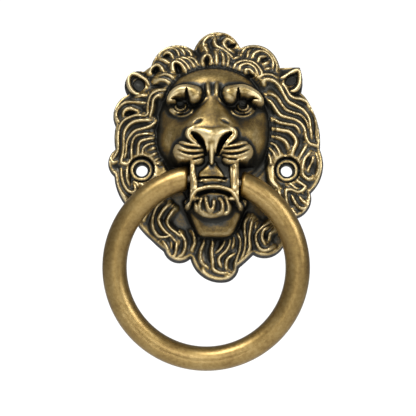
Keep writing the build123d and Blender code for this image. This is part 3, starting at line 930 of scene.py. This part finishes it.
def antique_brass():
    """Dark patina in the hollows, brown on the flats, rubbed gold on the ridges, with painted shade in the
    recesses and in the patches listed as shade.
    """
    material, tree, shader = new_material("antique_brass_cast")
    wear_and_shade = node(tree, "ShaderNodeAttribute", attribute_name="wear_and_shade").outputs["Fac"]
    occlusion_shade = node(tree, "ShaderNodeAttribute", attribute_name="occlusion_shade").outputs["Fac"]
    mottle, grain, speck = noise(tree, 260), noise(tree, 900, 5), noise(tree, 2600, 3)
    worn_and_shaded = wear_and_shade
    for uneven, amount in ((mottle, 0.34), (grain, 0.34), (speck, 0.30)):
        centred = maths(tree, "SUBTRACT", uneven, 0.5)
        worn_and_shaded = maths(tree, "ADD", worn_and_shaded, maths(tree, "MULTIPLY", centred, amount))
    colour = ramp(tree, worn_and_shaded, ((0.14, (0.018, 0.018, 0.015)), (0.34, (0.060, 0.059, 0.050)),
                               (0.47, (0.130, 0.088, 0.034)), (0.62, (0.280, 0.195, 0.066)),
                               (0.92, (0.700, 0.570, 0.320))))
    # painted shade: the colour is multiplied towards warm brown where the surface lies deep between raised
    # forms
    recess_shade = ramp(tree, occlusion_shade, ((0.10, (0.22, 0.17, 0.10)), (0.50, (1, 1, 1))))
    colour = mix(tree, 1.0, colour, recess_shade, "MULTIPLY")
    tree.links.new(colour, shader.inputs["Base Color"])
    dull = maths(tree, "ADD", maths(tree, "MULTIPLY", worn_and_shaded, -0.25), maths(tree, "MULTIPLY", speck, 0.3))
    rough = ramp(tree, dull, ((0.0, (0.41,) * 3), (0.25, (0.58,) * 3)))
    tree.links.new(rough, shader.inputs["Roughness"])
    shader.inputs["Metallic"].default_value = 0.92
    shader.inputs["Coat Weight"].default_value = 0.10
    shader.inputs["Coat Roughness"].default_value = 0.35
    bumps(tree, shader, ((grain, 0.35, 0.00012), (speck, 0.35, 0.00006)))
    return material


def ring_brass():
    """Satin antique brass bar, brown with a warm worn sheen."""
    material, tree, shader = new_material("antique_brass_bar")
    mottle, grain, speck = noise(tree, 90), noise(tree, 700, 6), noise(tree, 3000, 3)
    worn_and_shaded = maths(tree, "ADD", maths(tree, "MULTIPLY", mottle, 0.45), maths(tree, "MULTIPLY", grain, 0.55))
    colour = ramp(tree, worn_and_shaded, ((0.30, (0.175, 0.105, 0.032)), (0.50, (0.280, 0.186, 0.062)),
                               (0.70, (0.375, 0.265, 0.104))))
    tree.links.new(colour, shader.inputs["Base Color"])
    rough = ramp(tree, speck, ((0.3, (0.32,) * 3), (0.7, (0.46,) * 3)))
    tree.links.new(rough, shader.inputs["Roughness"])
    shader.inputs["Metallic"].default_value = 1.0
    shader.inputs["Coat Weight"].default_value = 0.25
    shader.inputs["Coat Roughness"].default_value = 0.22
    bumps(tree, shader, ((grain, 0.14, 0.0001), (speck, 0.2, 0.00005)))
    return material


def pin_steel():
    """Darkened steel pin."""
    material, tree, shader = new_material("darkened_steel_pin")
    grain = noise(tree, 1200, 5)
    colour = ramp(tree, grain, ((0.3, (0.10, 0.085, 0.06)), (0.7, (0.22, 0.18, 0.12))))
    tree.links.new(colour, shader.inputs["Base Color"])
    rough = ramp(tree, grain, ((0.3, (0.35,) * 3), (0.7, (0.5,) * 3)))
    tree.links.new(rough, shader.inputs["Roughness"])
    shader.inputs["Metallic"].default_value = 1.0
    bumps(tree, shader, ((grain, 0.1, 0.0001),))
    return material


# ================================================================ pieces
def add_object(name, mesh, material):
    made = bpy.data.objects.new(name, mesh)
    bpy.context.scene.collection.objects.link(made)
    mesh.materials.append(material)
    return made


brass = antique_brass()
mask = add_object("lion_mask_cast", mask_mesh(), brass)
cut_bore(mask)
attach(mask, "mask")
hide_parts("lion_mask")

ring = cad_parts["knocker_ring"]
ring.data.materials.clear()
ring.data.materials.append(ring_brass())
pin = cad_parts["hinge_pin"]
pin.data.materials.clear()
pin.data.materials.append(pin_steel())


# ================================================================ studio
def area_light(name, place, target, size, power):
    lamp = bpy.data.lights.new(name, "AREA")
    lamp.shape = "RECTANGLE"
    lamp.size, lamp.size_y = size
    lamp.energy = power
    made = bpy.data.objects.new(name, lamp)
    bpy.context.scene.collection.objects.link(made)
    made.location = place
    made.rotation_euler = (Vector(target) - Vector(place)).to_track_quat("-Z", "Y").to_euler()
    return made


def studio():
    """White surroundings, four soft lights and a plain pale floor."""
    bpy.context.scene.view_settings.view_transform = "Standard"
    world = bpy.data.worlds.new("white_studio")
    world.use_nodes = True
    bpy.context.scene.world = world
    tree = world.node_tree
    background = tree.nodes["Background"]
    background.inputs["Color"].default_value = (1, 1, 1, 1)
    seen = tree.nodes.new("ShaderNodeLightPath").outputs["Is Camera Ray"]
    strength = maths(tree, "ADD", maths(tree, "MULTIPLY", seen, 0.80), 0.30)
    tree.links.new(strength, background.inputs["Strength"])

    area_light("key", (-0.22, -0.55, 0.55), (0, 0, 0), (0.30, 0.30), 5.4)
    area_light("front", (0.05, -0.85, 0.10), (0, 0, -0.02), (0.40, 0.40), 2.0)
    area_light("fill", (0.50, -0.45, 0.15), (0, 0, 0), (0.25, 0.35), 2.2)
    area_light("low", (-0.1, -0.55, -0.45), (0, 0, -0.02), (0.4, 0.2), 1.0)

    floor_mesh = bpy.data.meshes.new("floor")
    reach, level = 3.0, cad_box[0].z - 0.35
    floor_mesh.from_pydata([(-reach, -reach, level), (reach, -reach, level), (reach, reach, level),
                            (-reach, reach, level)], [], [(0, 1, 2, 3)])
    material, _, shader = new_material("pale_floor")
    shader.inputs["Base Color"].default_value = (0.85, 0.85, 0.85, 1)
    shader.inputs["Roughness"].default_value = 0.9
    shader.inputs["Emission Color"].default_value = (1, 1, 1, 1)
    shader.inputs["Emission Strength"].default_value = 0.3
    add_object("floor", floor_mesh, material)


def camera():
    """At the viewing angle of someone standing a little below the knocker."""
    data = bpy.data.cameras.new("camera")
    data.sensor_width = 36.0
    data.lens = 101.5
    made = bpy.data.objects.new("camera", data)
    bpy.context.scene.collection.objects.link(made)
    yaw, pitch, roll = 0.0014, 0.1121, 0.0025
    ahead = Vector((math.sin(yaw) * math.cos(pitch), math.cos(yaw) * math.cos(pitch), math.sin(pitch)))
    level = ahead.cross(Vector((0, 0, 1))).normalized()
    up = level.cross(ahead)
    right = level * math.cos(roll) + up * math.sin(roll)
    up = right.cross(ahead)
    turn = Matrix((right, up, -ahead)).transposed()
    made.matrix_world = Matrix.Translation(Vector((EYE[0], -EYE_DISTANCE, EYE[1])) * MM) @ turn.to_4x4()
    bpy.context.scene.camera = made


studio()
camera()
